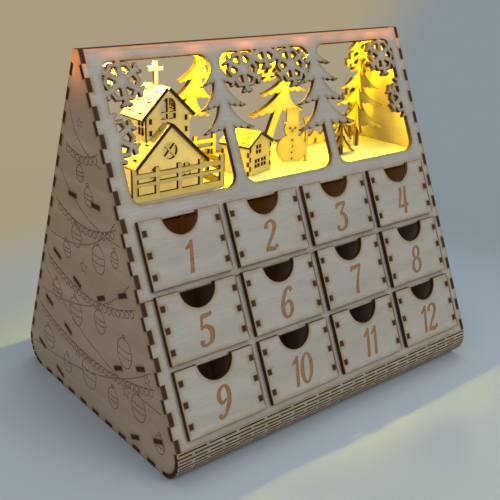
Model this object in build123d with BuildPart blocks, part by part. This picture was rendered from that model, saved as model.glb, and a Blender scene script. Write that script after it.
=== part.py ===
"""Wooden advent calendar: a plywood house with a lit winter scene above two faces of numbered drawers.

The origin is the middle of the base. +X runs along the ridge, the front faces -Y and +Z is up. Places on a
sloping face are given by their distance down the slope from the ridge and their depth behind the face. Sizes
are millimetres.
"""

import os
from math import cos, radians, sin, tan

from build123d import *

os.makedirs("parts", exist_ok=True)

# House
house_width = 256.0
house_height = 230.2
lean = 23.4  # angle of each face from upright, degrees
bend_radius = 15.6  # outside of the rolled bottom edges
ridge_gap = 0.1  # between the two top edges
ply = 3.0  # case and drawers

# Finger joints
slope_fingers = 29  # tabs and gaps down each slope, tabs first and last
base_fingers = 19
panel_fingers = 18  # fingers that the upper panel takes up
seam_lap = 0.96  # second row's plates over the seam

# Living hinge in each rolled edge
slit_rows = 14
slits_across = 12
slit_bridge = 2.0
slit_width = 0.8

# Windows
window_top = 7.6
window_bottom = 88.8
window_margin = 10.3  # panel beside the outer windows
window_corner = 8.0
mullion = 7.0
window_count = 3

# Fir trees on the mullions: bough tips as (reach from the trunk line, distance down the slope)
trunk_half = 3.5
small_tree_boughs = ((13.0, 27.0), (16.5, 41.0), (19.0, 55.0))
large_tree_boughs = ((14.5, 20.5), (18.0, 32.0), (21.0, 45.0), (25.0, 61.5))
bough_lift = 2.2  # rise of a bough's lower edge at the trunk
bough_sag = 0.12  # bow of a bough's upper edge, as a share of its length
scallops = 3
fir_tip = 0.8  # half width of a fir's top

# Snowflakes
flake_radius = 14.2
flake_bar = 3.3
flake_hub = 4.3
flake_ring = (8.2, 10.6)  # inner and outer sides from the middle
flake_twig = 5.0
corner_flake_inset = 11.8  # from the window's side edge
corner_flake_drop = 19.2
edge_flake_drop = 50.5
middle_flake_drop = 6.0
inner_flake_share = 0.27  # place beside the middle flake, as a share of the window's width

# Drawers
columns = 4
rows = 3
column_edge = 6.0  # outer columns' spaces to the house's ends
column_gap = 5.5  # between the plates of two columns
row_gap = 3.2  # between the plates of two rows
row_foot = 1.68  # last row's space to the rolled edge
window_rail = 8.5  # between the windows and the first row's plates
notch_radius = 12.3
lip_top = 1.4  # plate over the opening's top edge
lip_side = 0.75
lip_foot = 2.7
side_clearance = 0.35  # box to opening, each side
box_clearance = 0.6  # box to opening, above
floor_clearance = 0.15  # box over its shelf
back_gap = 3.7  # middle of the house to the first row's backs
front_tab = 3.4
front_tab_inset = 7.3
box_tab = 8.0
box_tab_inset = 11.0

# Shelves, dividers and the scene's floor
shelf_lift = 0.36  # last shelf's inner edge over the base
shelf_gap = 2.0  # middle of the house to a shelf, at the least
shelf_tab = 10.0
shelf_tab_front = 17.9
shelf_tab_back = 11.5
divider_beyond = 1.5  # dividers past the drawers' backs
divider_foot = 2.0  # below the last shelf
sill = 2.7  # scene's floor below the windows' lower edge
scene_tab = 10.0
scene_tab_offset = 13.9

# Scene pieces
thin_ply = 2.0
roof_slot = (3.4, 0.9)
pane_bar = 0.9
corner_clearance = 0.1  # between pieces that stand inside one another

nave_inset = 45.0  # from the left panel
nave_front = -18.5
nave_back = 4.0
nave_width = 44.0
nave_eave = 18.5
nave_rose = (6.5, 5.0)  # round window: height over the eave and radius
nave_arch = (10.0, 7.0, 6.0)  # arched windows: middle, width and height
roof_pitch = 44.0
roof_overhang = 2.5
eave_overhang = 3.5

tower_shift = 2.5  # from the nave's middle
tower_front = -13.3
tower_width = 30.0
tower_depth = 22.0
tower_eave = 45.0
tower_arch = (1.2, 10.3, 7.3)  # rise over the eave, width and height
tower_side_window = (7.0, 7.0, 6.0, 10.0)  # place from the front, drop, width and height
tower_overhang = 0.8
tower_wall_inset = 1.6  # side walls in from the front wall's edges
tower_tab = 3.2
tower_tab_drops = (2.7, 9.6)  # below the eave

cross_height = 13.5
cross_arm = 10.0
cross_bar = 2.6
cross_arm_height = 9.2
cross_y = 0.0

fence_rail_heights = ((0.0, 4.0), (9.2, 11.2), (13.8, 16.6))
fence_post = 2.6
fence_post_height = 19.4
fence_pitch = 15.4
front_fence_inset = 46.0  # from the left panel
front_fence_y = -26.0
front_fence_bays = 4
fence_gap = 0.1  # between the front and side fences
side_fence_bays = 2
rear_fence_shift = 31.4  # from the church's middle
rear_fence_y = 23.0
rear_fence_bays = 4

cottage_x = -12.5
cottage_y = -6.0
cottage_turn = 17.0
cottage_width = 25.5
cottage_depth = 22.0
cottage_eave = 18.2
cottage_pitch = 30.0
cottage_overhang = 0.8
cottage_fingers = 6  # up each corner
cottage_window = 5.6
cottage_window_place = (3.6, 7.0)  # from the middle and over the floor
cottage_loft = (-2.4, 16.2)  # loft window's place
cottage_side_window = 5.6

snowman_x = 26.0
snowman_y = -7.0
snowman_turn = -25.0
snowman_body = 10.4
snowman_head = 5.6
hat_brim = (13.0, 1.7)
hat_crown = (8.6, 9.5)
button_radius = 0.7
button_pitch = 4.2
face_marks = ((-1.9, 0.7), (1.9, 0.7), (0.0, -1.3))
broom_length = 30.0
broom_stick = 1.8
broom_head = 5.4

village_inset = 53.0  # from the right panel
village_y = 20.0
village_house = 11.0
village_houses = 3
village_eave = 7.0
village_rise = 5.0

large_fir_place = (28.0, 0.0, -38.0)  # inset from the right panel, y and turn
large_fir_boughs = ((8.2, 9.5), (14.2, 21.3), (17.4, 33.0), (20.0, 49.0))
large_fir_height = 63.7
front_fir_place = (56.0, -11.5, 8.0)
front_fir_boughs = ((5.5, 8.5), (9.0, 16.0), (12.5, 24.0))
front_fir_height = 28.5
rear_fir_place = (11.5, 24.0, -40.0)
rear_fir_boughs = ((4.5, 8.0), (7.0, 15.0), (9.0, 22.0))
rear_fir_height = 25.0
fir_trunk_half = 1.8

# Lights
strip_width = 3.4
strip_thickness = 0.8
strip_seat = 0.15  # strip's upper corners to the panels
strip_end_gap = 2.0
bead_radius = 1.3
bead_height = 1.6
# Places along half the strip
bead_shares = (-0.878, -0.667, -0.431, -0.26, -0.114, 0.049, 0.268, 0.472, 0.642, 0.805, 0.943)

# Battery pack
pack_width = 22.4
pack_thickness = 10.6
pack_height = 36.0
pack_wall = 1.0
pack_cover = 1.4
cell_radius = 10.0
cell_thickness = 3.2
cell_gap = 0.3
switch_size = (4.0, 2.4, 3.0)
switch_travel = 3.0
switch_clearance = 0.2
switch_drop = 5.0  # middle of its window, below the pack's top

# Worked out from the sizes above
rise = sin(radians(lean))
run = cos(radians(lean))
ridge_half = ply * run + ridge_gap / 2
corner_half = ridge_half + house_height * tan(radians(lean))
tangent = bend_radius / tan(radians(90 - lean) / 2)
slope_end = house_height / run - tangent
bend_y = corner_half - tangent
base_finger = 2 * bend_y / base_fingers
inner_half = house_width / 2 - ply
window_width = (house_width - 2 * window_margin - (window_count - 1) * mullion) / window_count
window_pitch = window_width + mullion
tree_line = window_pitch / 2

column_pitch = (house_width - 2 * column_edge) / columns
column_places = [column_pitch * (i - (columns - 1) / 2) for i in range(columns)]
divider_places = [column_pitch * (i - (columns - 2) / 2) for i in range(columns - 1)]
first_row = window_bottom + window_rail
row_pitch = (slope_end - first_row - row_foot) / rows
row_places = [first_row + row_pitch * i for i in range(rows)]
plate_width = column_pitch - column_gap
plate_height = row_pitch - row_gap
opening_width = plate_width - 2 * lip_side
opening_height = plate_height - lip_top - lip_foot
opening_drop = lip_top + opening_height / 2
box_top = lip_top + box_clearance
box_foot = lip_top + opening_height - floor_clearance
box_depth = (ridge_half + (first_row + box_top) * rise - back_gap) / run
front_tab_drops = (front_tab_inset, plate_height / 2, plate_height - front_tab_inset)
box_tab_depths = (box_tab_inset, box_depth - ply - box_tab_inset)
box_tab_drops = ((3 * box_top + box_foot) / 4, (box_top + 3 * box_foot) / 4)
shelf_drop = lip_top + opening_height + ply / 2
last_shelf_level = house_height - (row_places[-1] + shelf_drop + ply / 2) * run
shelf_depth = (last_shelf_level - ply - shelf_lift) / rise
divider_depth = box_depth + divider_beyond
divider_lap = (ply + divider_depth) / 2

seam = row_places[1] + seam_lap
panel_finger = seam / panel_fingers
wrap_fingers = slope_fingers - panel_fingers
wrap_finger = (slope_end - seam) / wrap_fingers
finger_places = [panel_finger * i for i in range(panel_fingers)]
finger_places += [seam + wrap_finger * i for i in range(wrap_fingers + 1)]

scene_level = house_height - window_bottom * run - sill
nave_x = nave_inset - inner_half
tower_x = nave_x + tower_shift
front_fence_x = front_fence_inset - inner_half
side_fence_x = front_fence_x + (front_fence_bays * fence_pitch + fence_post + thin_ply) / 2 + fence_gap
rear_fence_x = nave_x + rear_fence_shift
village_x = inner_half - village_inset
bead_places = [share * (inner_half - strip_end_gap) for share in bead_shares]

FRONT = Plane(origin=(0, -ridge_half, house_height), x_dir=(1, 0, 0), z_dir=(0, -run, rise))
REAR = Plane(origin=(0, ridge_half, house_height), x_dir=(-1, 0, 0), z_dir=(0, run, rise))


def slope_point(down, depth, side=-1):
    """Place in the YZ plane down a slope and a depth behind it; side is -1 in front, 1 behind."""
    y = -(ridge_half + down * rise) + depth * run
    return (-side * y, house_height - down * run - depth * rise)


def inner_half_depth(height):
    """Half the clear depth between the two sloping faces at a height."""
    return ridge_half + (house_height - height) * tan(radians(lean)) - ply / run


def shelf_reach(top):
    """Depth behind the face of a shelf's inner edge, short of the middle of the house."""
    middle = (ridge_half + (top + shelf_drop - ply / 2) * rise - shelf_gap) / run
    return min(shelf_depth, middle)


def shelf_tab_depths(top):
    """Depths of a shelf's two tabs at each end."""
    return (shelf_tab_front, shelf_reach(top) - shelf_tab_back)


def finger_middles(i):
    """Middles of a finger's gaps at a face's left and right edges, in the face's own sketch."""
    drop = (finger_places[i] + finger_places[i + 1]) / 2
    return [(hand * (inner_half + ply / 2), -drop) for hand in (-1, 1)]


def write(name, *pieces):
    """Write one node: a single piece, or a group of separate pieces."""
    node = pieces[0] if len(pieces) == 1 else Compound(children=list(pieces))
    node.label = name
    export_step(node, f"parts/{name}.step")


def bend_arc(side, radius):
    """Arc of a rolled edge, from the slope's end round to the base."""
    start = radians(180 - lean)
    middle = (start + radians(270)) / 2
    places = [(bend_y + radius * -cos(turn), bend_radius + radius * sin(turn)) for turn in (start, middle)]
    return [(side * y, z) for y, z in places] + [(side * bend_y, bend_radius - radius)]


def side_edge(side):
    """Toothed edge of a side panel down one slope, from the ridge to the rolled edge."""
    places = []
    for i in range(slope_fingers):
        depth = ply * (i % 2)
        places += [slope_point(down, depth, side) for down in finger_places[i : i + 2]]
    return places + [slope_point(slope_end, ply, side)]


def side_panel(x):
    """A-shaped side panel whose left face lies at x."""
    foot = [(-bend_y, ply)]
    for i in range(base_fingers):
        level = ply * (i % 2)
        foot += [(-bend_y + i * base_finger, level), (-bend_y + (i + 1) * base_finger, level)]
    foot.append((bend_y, ply))
    with BuildPart() as panel:
        with BuildSketch(Plane.YZ.offset(x)):
            with BuildLine():
                Polyline(*side_edge(-1))
                ThreePointArc(*bend_arc(-1, bend_radius - ply))
                Polyline(*foot)
                ThreePointArc(*bend_arc(1, bend_radius - ply))
                Polyline(*side_edge(1))
                Line(slope_point(0, 0, -1), slope_point(0, 0, 1))
            make_face()
            for side in (-1, 1):
                for top in row_places:
                    for depth in shelf_tab_depths(top):
                        with Locations(slope_point(top + shelf_drop, depth, side)):
                            Rectangle(shelf_tab, ply, rotation=side * lean, mode=Mode.SUBTRACT)
                with Locations((side * scene_tab_offset, scene_level - ply / 2)):
                    Rectangle(scene_tab, ply, mode=Mode.SUBTRACT)
        extrude(amount=ply)
    return panel.part


def fir_half(boughs, top, trunk, hand):
    """Edges of one half of a fir, from its top to the last bough, as (points, middle) for arcs."""
    edges = []
    start = (fir_tip, top)
    for reach, drop in boughs:
        tip = (reach, drop)
        bow = ((start[0] + tip[0]) / 2 - bough_sag * (tip[1] - start[1]), (start[1] + tip[1]) / 2)
        bow = (bow[0], bow[1] + bough_sag * (tip[0] - start[0]))
        edges.append((start, bow, tip))
        end = (trunk, drop - bough_lift)
        for i in range(scallops):
            near = tuple(tip[k] + (end[k] - tip[k]) * i / scallops for k in (0, 1))
            far = tuple(tip[k] + (end[k] - tip[k]) * (i + 1) / scallops for k in (0, 1))
            sag = (near[0] - far[0]) / 4
            edges.append((near, ((near[0] + far[0]) / 2, (near[1] + far[1]) / 2 + sag), far))
        start = end
    return [tuple((hand * x, -y) for x, y in edge) for edge in edges]


def fir_face(boughs, top, foot, trunk):
    """Flat fir outline about x = 0, hanging below y = 0 like the faces' sketches."""
    with BuildSketch() as fir:
        with BuildLine():
            for hand in (1, -1):
                for edge in fir_half(boughs, top, trunk, hand):
                    ThreePointArc(*edge)
                last = boughs[-1][1] - bough_lift
                Polyline((hand * trunk, -last), (hand * trunk, -foot), (0, -foot))
            Line((-fir_tip, -top), (fir_tip, -top))
        make_face()
    return fir.sketch


def flake_face():
    """Six-armed snowflake with a hub, a ring that ties the arms and a pair of twigs near each tip."""
    ring_in, ring_out = flake_ring
    with BuildSketch() as flake:
        RegularPolygon(ring_out, 6, major_radius=False)
        RegularPolygon(ring_in, 6, major_radius=False, mode=Mode.SUBTRACT)
        with PolarLocations(0, 6, start_angle=30):
            with Locations((flake_radius / 2, 0)):
                SlotOverall(flake_radius, flake_bar)
            with Locations((flake_radius - 0.5 * flake_twig, 0)):
                with Locations(Location((0, 0, 0), (0, 0, 55)), Location((0, 0, 0), (0, 0, -55))):
                    with Locations((flake_twig / 2 - flake_bar / 4, 0)):
                        SlotOverall(flake_twig, 0.7 * flake_bar)
        Circle(flake_hub)
    return flake.sketch


def upper_panel(face):
    """Sloping upper panel with its windows, mullion trees, snowflakes and first row of openings."""
    edge_x = window_pitch + window_width / 2
    flake_places = [(0, -middle_flake_drop)]
    for hand in (-1, 1):
        flake_places.append((hand * (edge_x - corner_flake_inset), -corner_flake_drop))
        flake_places.append((hand * window_width * inner_flake_share, -corner_flake_drop))
        flake_places.append((hand * edge_x, -edge_flake_drop))
    flake = flake_face()
    small_tree = fir_face(small_tree_boughs, window_top, window_bottom, trunk_half)
    large_tree = fir_face(large_tree_boughs, window_top, window_bottom, trunk_half)
    tree_places = ((small_tree, -tree_line * face.x_dir.X), (large_tree, tree_line * face.x_dir.X))
    with BuildSketch() as windows:
        with Locations((0, -(window_top + window_bottom) / 2)):
            with GridLocations(window_pitch, 0, window_count, 1):
                RectangleRounded(window_width, window_bottom - window_top, window_corner)
        for tree, x in tree_places:
            with Locations((x, 0)):
                add(tree, mode=Mode.SUBTRACT)
        with Locations(*flake_places):
            add(flake, mode=Mode.SUBTRACT)
    with BuildPart() as panel:
        with BuildSketch(face):
            with Locations((0, -seam / 2)):
                Rectangle(house_width, seam)
            add(windows.sketch, mode=Mode.SUBTRACT)
            with Locations(*[(x, -(row_places[0] + opening_drop)) for x in column_places]):
                Rectangle(opening_width, opening_height, mode=Mode.SUBTRACT)
            for i in range(0, panel_fingers, 2):
                with Locations(*finger_middles(i)):
                    Rectangle(ply, panel_finger, mode=Mode.SUBTRACT)
        extrude(amount=-ply)
    return panel.part


def rolled_edge():
    """Front rolled edge: a bent strip with staggered rows of slits that let the plywood curve."""
    slit_pitch = house_width / slits_across
    with BuildPart() as roll:
        with BuildSketch(Plane.YZ.offset(-house_width / 2)):
            with BuildLine():
                for depth in (0, ply):
                    ThreePointArc(*bend_arc(-1, bend_radius - depth))
                Line(slope_point(slope_end, 0), slope_point(slope_end, ply))
                Line((-bend_y, 0), (-bend_y, ply))
            make_face()
        extrude(amount=house_width)
        for i in range(slit_rows):
            turn = radians(180 - lean + (90 + lean) * (i + 0.5) / slit_rows)
            out = (0, cos(turn), sin(turn))
            with BuildSketch(Plane(origin=(0, -bend_y, bend_radius), x_dir=(1, 0, 0), z_dir=out)):
                with GridLocations(slit_pitch, 0, slits_across + i % 2, 1):
                    Rectangle(slit_pitch - slit_bridge, slit_width)
            extrude(amount=bend_radius + ply, mode=Mode.SUBTRACT)
    return roll.part


def wrap():
    """One sheet from the front seam down, round both rolled edges and up to the rear seam."""
    roll = rolled_edge()
    with BuildPart() as sheet:
        for face in (FRONT, REAR):
            with BuildSketch(face):
                with Locations((0, -(seam + slope_end) / 2)):
                    Rectangle(house_width, slope_end - seam)
                middles = [(x, -(top + opening_drop)) for top in row_places[1:] for x in column_places]
                with Locations(*middles):
                    Rectangle(opening_width, opening_height, mode=Mode.SUBTRACT)
                for i in range(panel_fingers, slope_fingers, 2):
                    with Locations(*finger_middles(i)):
                        Rectangle(ply, wrap_finger, mode=Mode.SUBTRACT)
        extrude(amount=-ply)
        with BuildSketch():
            Rectangle(house_width, 2 * bend_y)
            for i in range(0, base_fingers, 2):
                y = -bend_y + (i + 0.5) * base_finger
                with Locations((-inner_half - ply / 2, y), (inner_half + ply / 2, y)):
                    Rectangle(ply, base_finger, mode=Mode.SUBTRACT)
        extrude(amount=ply)
        add(roll)
        add(roll.rotate(Axis.Z, 180))
    return sheet.part


def shelf(face, top):
    """Runner under one row of drawers, square to its face and tabbed through the side panels."""
    level = -(top + shelf_drop)
    reach = shelf_reach(top)
    tab_x = inner_half + ply / 2
    plane = Plane(origin=face.from_local_coords((0, level, 0)), x_dir=face.x_dir, z_dir=face.y_dir)
    with BuildPart() as runner:
        with BuildSketch(plane):
            with Locations((0, (ply + reach) / 2)):
                Rectangle(2 * inner_half, reach - ply)
            with Locations(*[(h * tab_x, d) for h in (-1, 1) for d in shelf_tab_depths(top)]):
                Rectangle(ply, shelf_tab)
            with Locations(*[(x, (ply + divider_lap) / 2) for x in divider_places]):
                Rectangle(ply, divider_lap - ply, mode=Mode.SUBTRACT)
        extrude(amount=ply / 2, both=True)
    return runner.part


def divider(x, side):
    """Upright divider between two columns, slotted from its inner edge for the shelves."""
    foot = row_places[-1] + shelf_drop + ply / 2 + divider_foot
    with BuildPart() as plate:
        with BuildSketch(Plane.YZ.offset(x - ply / 2)):
            with Locations(slope_point((first_row + foot) / 2, (ply + divider_depth) / 2, side)):
                Rectangle(divider_depth - ply, foot - first_row, rotation=side * lean)
            for top in row_places:
                with Locations(slope_point(top + shelf_drop, (divider_lap + divider_depth) / 2, side)):
                    Rectangle(divider_depth - divider_lap, ply, rotation=side * lean, mode=Mode.SUBTRACT)
        extrude(amount=ply)
    return plate.part


def drawer_pieces():
    """Plate, two sides, back and floor of a drawer, about the plate's top middle on the house's face."""
    box_half = opening_width / 2 - side_clearance
    inner = 2 * (box_half - ply)
    top = -box_top
    foot = -box_foot
    with BuildPart() as plate:
        with BuildSketch():
            with Locations((0, -plate_height / 2)):
                Rectangle(plate_width, plate_height)
            Circle(notch_radius, mode=Mode.SUBTRACT)
            with Locations(*[(h * (box_half - ply / 2), -d) for h in (-1, 1) for d in front_tab_drops]):
                Rectangle(ply, front_tab, mode=Mode.SUBTRACT)
        extrude(amount=ply)
    sides = []
    for x in (-box_half, box_half - ply):
        with BuildPart() as wall:
            with BuildSketch(Plane.YZ.offset(x)):
                with Locations(((top + foot) / 2, -box_depth / 2)):
                    Rectangle(top - foot, box_depth)
                with Locations(*[(-d, ply / 2) for d in front_tab_drops]):
                    Rectangle(front_tab, ply)
                with Locations(*[(foot + ply / 2, -d) for d in box_tab_depths]):
                    Rectangle(ply, box_tab, mode=Mode.SUBTRACT)
                with Locations(*[(-d, -box_depth + ply / 2) for d in box_tab_drops]):
                    Rectangle(box_tab, ply, mode=Mode.SUBTRACT)
            extrude(amount=ply)
        sides.append(wall.part)
    with BuildPart() as back:
        with BuildSketch(Plane.XY.offset(-box_depth)):
            with Locations((0, (top + foot) / 2)):
                Rectangle(inner, top - foot)
            with Locations(*[(h * (inner + ply) / 2, -d) for h in (-1, 1) for d in box_tab_drops]):
                Rectangle(ply, box_tab)
        extrude(amount=ply)
    floor_plane = Plane(origin=(0, foot, 0), x_dir=(1, 0, 0), z_dir=(0, 1, 0))
    with BuildPart() as floor:
        with BuildSketch(floor_plane):
            with Locations((0, (box_depth - ply) / 2)):
                Rectangle(inner, box_depth - ply)
            with Locations(*[(h * (inner + ply) / 2, d) for h in (-1, 1) for d in box_tab_depths]):
                Rectangle(ply, box_tab)
        extrude(amount=ply)
    return [plate.part, *sides, back.part, floor.part]


def gable(width, eave, pitch, openings):
    """Upright gabled wall in the XZ plane, standing on z = 0, with its window openings cut out."""
    half = width / 2
    peak = eave + half * tan(radians(pitch))
    with BuildPart() as wall:
        with BuildSketch(Plane.XZ):
            with BuildLine():
                Polyline((-half, 0), (half, 0), (half, eave), (0, peak), (-half, eave), close=True)
            make_face()
            add(openings, mode=Mode.SUBTRACT)
        extrude(amount=-thin_ply)
    return wall.part


def plain_wall(length, height, openings):
    """Upright side wall in the YZ plane, its outer face at x = 0 and its wood on the +X side."""
    with BuildPart() as wall:
        with BuildSketch(Plane.YZ):
            with Locations((length / 2, height / 2)):
                Rectangle(length, height)
            add(openings, mode=Mode.SUBTRACT)
        extrude(amount=thin_ply)
    return wall.part


def roof_plates(width, length, eave, pitch, overhang, cut=None):
    """Two square-edged roof plates that meet at the ridge; cut is a solid that passes through them."""
    slope = radians(pitch)
    peak = eave + width / 2 * tan(slope)
    span = width / 2 / cos(slope) + overhang
    plates = []
    for hand in (-1, 1):
        out = (hand * sin(slope), 0, cos(slope))
        plane = Plane(origin=(0, 0, peak), x_dir=(hand * cos(slope), 0, -sin(slope)), z_dir=out)
        with BuildPart() as plate:
            with BuildSketch(plane):
                with Locations((span / 2, hand * length / 2)):
                    Rectangle(span, length)
                    with GridLocations(span / 3, length / 2, 3, 2):
                        SlotOverall(*roof_slot, rotation=90, mode=Mode.SUBTRACT)
            extrude(amount=thin_ply)
            if cut is not None:
                add(cut, mode=Mode.SUBTRACT)
        plates.append(plate.part)
    return plates


def pane_window(x, y, width, height, arch=False):
    """Four panes with bars between them; the upper edge is round where arch is set."""
    with BuildSketch() as window:
        with Locations((x, y)):
            Rectangle(width, height)
        if arch:
            with Locations((x, y + height / 2)):
                Circle(width / 2)
        with Locations((x, y)):
            Rectangle(pane_bar, 3 * height, mode=Mode.SUBTRACT)
            Rectangle(3 * width, pane_bar, mode=Mode.SUBTRACT)
    return window.sketch


def round_window(y, radius):
    """Round window with crossed bars."""
    with BuildSketch() as window:
        with Locations((0, y)):
            Circle(radius)
            for turn in (45, -45):
                Rectangle(3 * radius, pane_bar, rotation=turn, mode=Mode.SUBTRACT)
    return window.sketch


def fence(bays):
    """Post-and-rail fence in the XZ plane, centred on x = 0 and standing on z = 0."""
    length = bays * fence_pitch
    with BuildPart() as rails:
        with BuildSketch(Plane.XZ):
            for low, high in fence_rail_heights:
                with Locations((0, (low + high) / 2)):
                    Rectangle(length + fence_post, high - low)
            with Locations((0, fence_post_height / 2)):
                with GridLocations(fence_pitch, 0, bays + 1, 1):
                    Rectangle(fence_post, fence_post_height)
        extrude(amount=thin_ply / 2, both=True)
    return rails.part


def standing_fir(boughs, height, place):
    """Two fir plates, half-lapped and standing crosswise on the scene's floor."""
    inset, y, turn = place
    outline = fir_face(boughs, 0, height, fir_trunk_half)
    spot = Location((inner_half - inset, y, scene_level), (0, 0, turn))
    plates = []
    for quarter, low, high in ((0, 0, height / 2), (90, height / 2, height)):
        with BuildPart() as plate:
            with BuildSketch(Plane.XZ.offset(-thin_ply / 2)):
                with Locations((0, height)):
                    add(outline)
                with Locations((0, (low + high) / 2)):
                    Rectangle(thin_ply, high - low, mode=Mode.SUBTRACT)
            extrude(amount=thin_ply)
        plates.append(plate.part.moved(spot * Location((0, 0, 0), (0, 0, quarter))))
    return plates


# Case
write("left_side_panel", side_panel(-house_width / 2))
write("right_side_panel", side_panel(inner_half))
write("front_upper_panel", upper_panel(FRONT))
write("rear_upper_panel", upper_panel(REAR))
write("wrap_panel", wrap())
for place, face, side in (("front", FRONT, -1), ("rear", REAR, 1)):
    for number, row_top in enumerate(row_places, 1):
        write(f"{place}_shelf_{number}", shelf(face, row_top))
    write(f"{place}_dividers", *[divider(x, side) for x in divider_places])

with BuildPart() as scene_floor:
    with BuildSketch(Plane.XY.offset(scene_level - ply)):
        Rectangle(2 * inner_half, 2 * inner_half_depth(scene_level))
        with GridLocations(2 * inner_half + ply, 2 * scene_tab_offset, 2, 2):
            Rectangle(ply, scene_tab)
    extrude(amount=ply)
write("scene_floor", scene_floor.part)

# Drawers, numbered along each row and down the rows of the front face, then the rear face
box = drawer_pieces()
number = 0
for face in (FRONT, REAR):
    for row_top in row_places:
        for column in column_places:
            number += 1
            spot = face.location * Location((column, -row_top, 0))
            write(f"drawer_{number:02d}", *[piece.moved(spot) for piece in box])

# Church: a nave in front and a tower that rises through its roof, open at the back
with BuildPart() as tower_shaft:
    with Locations((tower_x, tower_front + tower_depth / 2, scene_level + house_height / 2)):
        Box(tower_width + 2 * corner_clearance, tower_depth + 2 * corner_clearance, house_height)
nave_length = nave_back - nave_front
with BuildSketch() as nave_openings:
    add(round_window(nave_eave + nave_rose[0], nave_rose[1]))
    for hand in (-1, 1):
        add(pane_window(hand * nave_width / 4, *nave_arch, arch=True))
with BuildSketch() as no_openings:
    with Locations((0, -house_height)):
        Circle(pane_bar)
nave_spot = Location((nave_x, nave_front, scene_level))
nave_walls = [gable(nave_width, nave_eave, roof_pitch, nave_openings.sketch).moved(nave_spot)]
for x in (-nave_width / 2, nave_width / 2 - thin_ply):
    wall = plain_wall(nave_length - thin_ply, nave_eave, no_openings.sketch)
    nave_walls.append(wall.moved(nave_spot * Location((x, thin_ply, 0))))
write("church_nave_walls", *nave_walls)

nave_roof_spot = nave_spot * Location((0, -roof_overhang, 0))
shaft_from_nave = tower_shaft.part.moved(nave_roof_spot.inverse())
nave_roof = roof_plates(
    nave_width, nave_length + roof_overhang, nave_eave, roof_pitch, eave_overhang, shaft_from_nave
)
write("church_nave_roof", *[plate.moved(nave_roof_spot) for plate in nave_roof])

tower_spot = Location((tower_x, tower_front, scene_level))
arch_rise, *arch_size = tower_arch
side_place, side_drop, *side_size = tower_side_window
tower_wall_half = tower_width / 2 - tower_wall_inset - thin_ply / 2
tower_tab_levels = [tower_eave - drop for drop in tower_tab_drops]
with BuildSketch() as tower_openings:
    add(pane_window(0, tower_eave + arch_rise, *arch_size, arch=True))
    with Locations(*[(hand * tower_wall_half, level) for hand in (-1, 1) for level in tower_tab_levels]):
        Rectangle(thin_ply, tower_tab)
tower_walls = [gable(tower_width, tower_eave, roof_pitch, tower_openings.sketch).moved(tower_spot)]
side_panes = pane_window(side_place, tower_eave - side_drop, *side_size)
with BuildPart() as tower_side:
    add(plain_wall(tower_depth - thin_ply, tower_eave, side_panes))
    with Locations(*[(thin_ply / 2, -thin_ply / 2, level) for level in tower_tab_levels]):
        Box(thin_ply, thin_ply, tower_tab)
for x in (-tower_wall_half, tower_wall_half):
    tower_walls.append(tower_side.part.moved(tower_spot * Location((x - thin_ply / 2, thin_ply, 0))))
write("church_tower_walls", *tower_walls)
tower_roof = roof_plates(
    tower_width, tower_depth + 2 * tower_overhang, tower_eave, roof_pitch, eave_overhang
)
write("church_tower_roof", *[p.moved(tower_spot * Location((0, -tower_overhang, 0))) for p in tower_roof])

tower_peak = scene_level + tower_eave + tower_width / 2 * tan(radians(roof_pitch))
cross_foot = tower_peak + cross_bar / 2 / tan(radians(roof_pitch))  # its corners seat in the ridge
with BuildPart() as church_cross:
    with BuildSketch(Plane.XZ.offset(-cross_y - thin_ply / 2)):
        with Locations((tower_x, cross_foot + cross_height / 2)):
            Rectangle(cross_bar, cross_height)
        with Locations((tower_x, cross_foot + cross_arm_height)):
            Rectangle(cross_arm, cross_bar)
    extrude(amount=thin_ply)
write("church_cross", church_cross.part)

# Fences
write("front_fence", fence(front_fence_bays).moved(Location((front_fence_x, front_fence_y, scene_level))))
side_middle = front_fence_y + (side_fence_bays * fence_pitch + fence_post + thin_ply) / 2
side_fence_spot = Location((side_fence_x, side_middle, scene_level), (0, 0, 90))
write("side_fence", fence(side_fence_bays).moved(side_fence_spot))
write("rear_fence", fence(rear_fence_bays).moved(Location((rear_fence_x, rear_fence_y, scene_level))))

# Cottage
cottage_spot = Location((cottage_x, cottage_y, scene_level), (0, 0, cottage_turn))
cottage_front = cottage_spot * Location((0, -cottage_depth / 2, 0))
cottage_finger = cottage_eave / cottage_fingers
finger_levels = [cottage_finger * (i + 0.5) for i in range(cottage_fingers)]
pane_place, pane_level = cottage_window_place
with BuildSketch() as cottage_openings:
    for hand in (-1, 1):
        add(pane_window(hand * pane_place, pane_level, cottage_window, cottage_window))
    add(pane_window(*cottage_loft, cottage_window, cottage_window))
    corner_x = (cottage_width - thin_ply) / 2
    with Locations(*[(hand * corner_x, z) for hand in (-1, 1) for z in finger_levels[1::2]]):
        Rectangle(thin_ply, cottage_finger)
with BuildSketch() as side_openings:
    add(pane_window(cottage_depth / 2, pane_level, cottage_side_window, cottage_side_window))
    ends = (thin_ply / 2, cottage_depth - thin_ply / 2)
    with Locations(*[(y, z) for y in ends for z in finger_levels[::2]]):
        Rectangle(thin_ply, cottage_finger)
cottage_end = gable(cottage_width, cottage_eave, cottage_pitch, cottage_openings.sketch)
cottage_side = plain_wall(cottage_depth, cottage_eave, side_openings.sketch)
cottage_walls = []
for y in (0, cottage_depth - thin_ply):
    cottage_walls.append(cottage_end.moved(cottage_front * Location((0, y, 0))))
for x in (-cottage_width / 2, cottage_width / 2 - thin_ply):
    cottage_walls.append(cottage_side.moved(cottage_front * Location((x, 0, 0))))
write("cottage_walls", *cottage_walls)
cottage_roof = roof_plates(
    cottage_width, cottage_depth + 2 * cottage_overhang, cottage_eave, cottage_pitch, cottage_overhang
)
write("cottage_roof", *[p.moved(cottage_front * Location((0, -cottage_overhang, 0))) for p in cottage_roof])

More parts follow.
